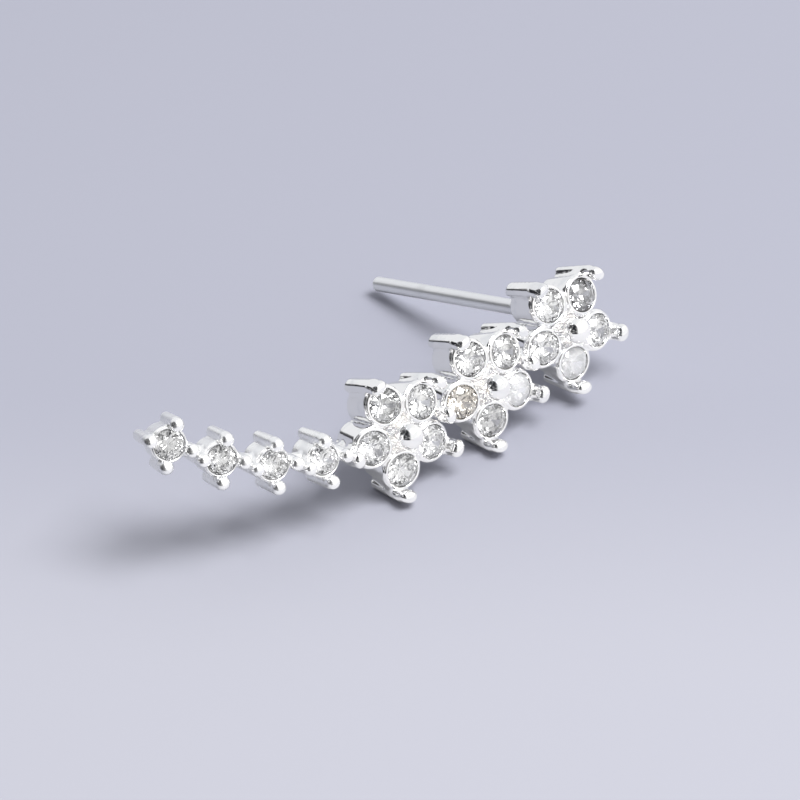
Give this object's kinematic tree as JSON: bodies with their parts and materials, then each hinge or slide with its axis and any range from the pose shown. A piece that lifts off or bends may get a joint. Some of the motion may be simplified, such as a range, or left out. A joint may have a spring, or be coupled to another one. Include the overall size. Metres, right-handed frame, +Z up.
{
  "type": "ear climber",
  "caption": "Curved ear climber: a row of stone flowers with ball centres running out into small single stones, with a straight post at the back.",
  "frame": {"origin": "middle of the bounding box, on the surface that the climber rests on", "axes": "+X along the row towards the head flower, which carries the post, -Y out of the front of the stones, +Z up from the resting surface"},
  "size_m": [0.024, 0.0154, 0.0077],
  "materials": {
    "silver": "polished bright silver, cast and soldered",
    "clear_stone": "clear faceted stone, polished"
  },
  "bodies": {
    "root": {"silver_setting": "silver", "end_flower_stone_1": "clear_stone", "end_flower_stone_2": "clear_stone", "end_flower_stone_3": "clear_stone", "end_flower_stone_4": "clear_stone", "end_flower_stone_5": "clear_stone", "head_flower_stone_1": "clear_stone", "head_flower_stone_2": "clear_stone", "head_flower_stone_3": "clear_stone", "head_flower_stone_4": "clear_stone", "head_flower_stone_5": "clear_stone", "middle_flower_stone_1": "clear_stone", "middle_flower_stone_2": "clear_stone", "middle_flower_stone_3": "clear_stone", "middle_flower_stone_4": "clear_stone", "middle_flower_stone_5": "clear_stone", "single_1_stone": "clear_stone", "single_2_stone": "clear_stone", "single_3_stone": "clear_stone", "single_4_stone": "clear_stone"}
  },
  "joints": []
}
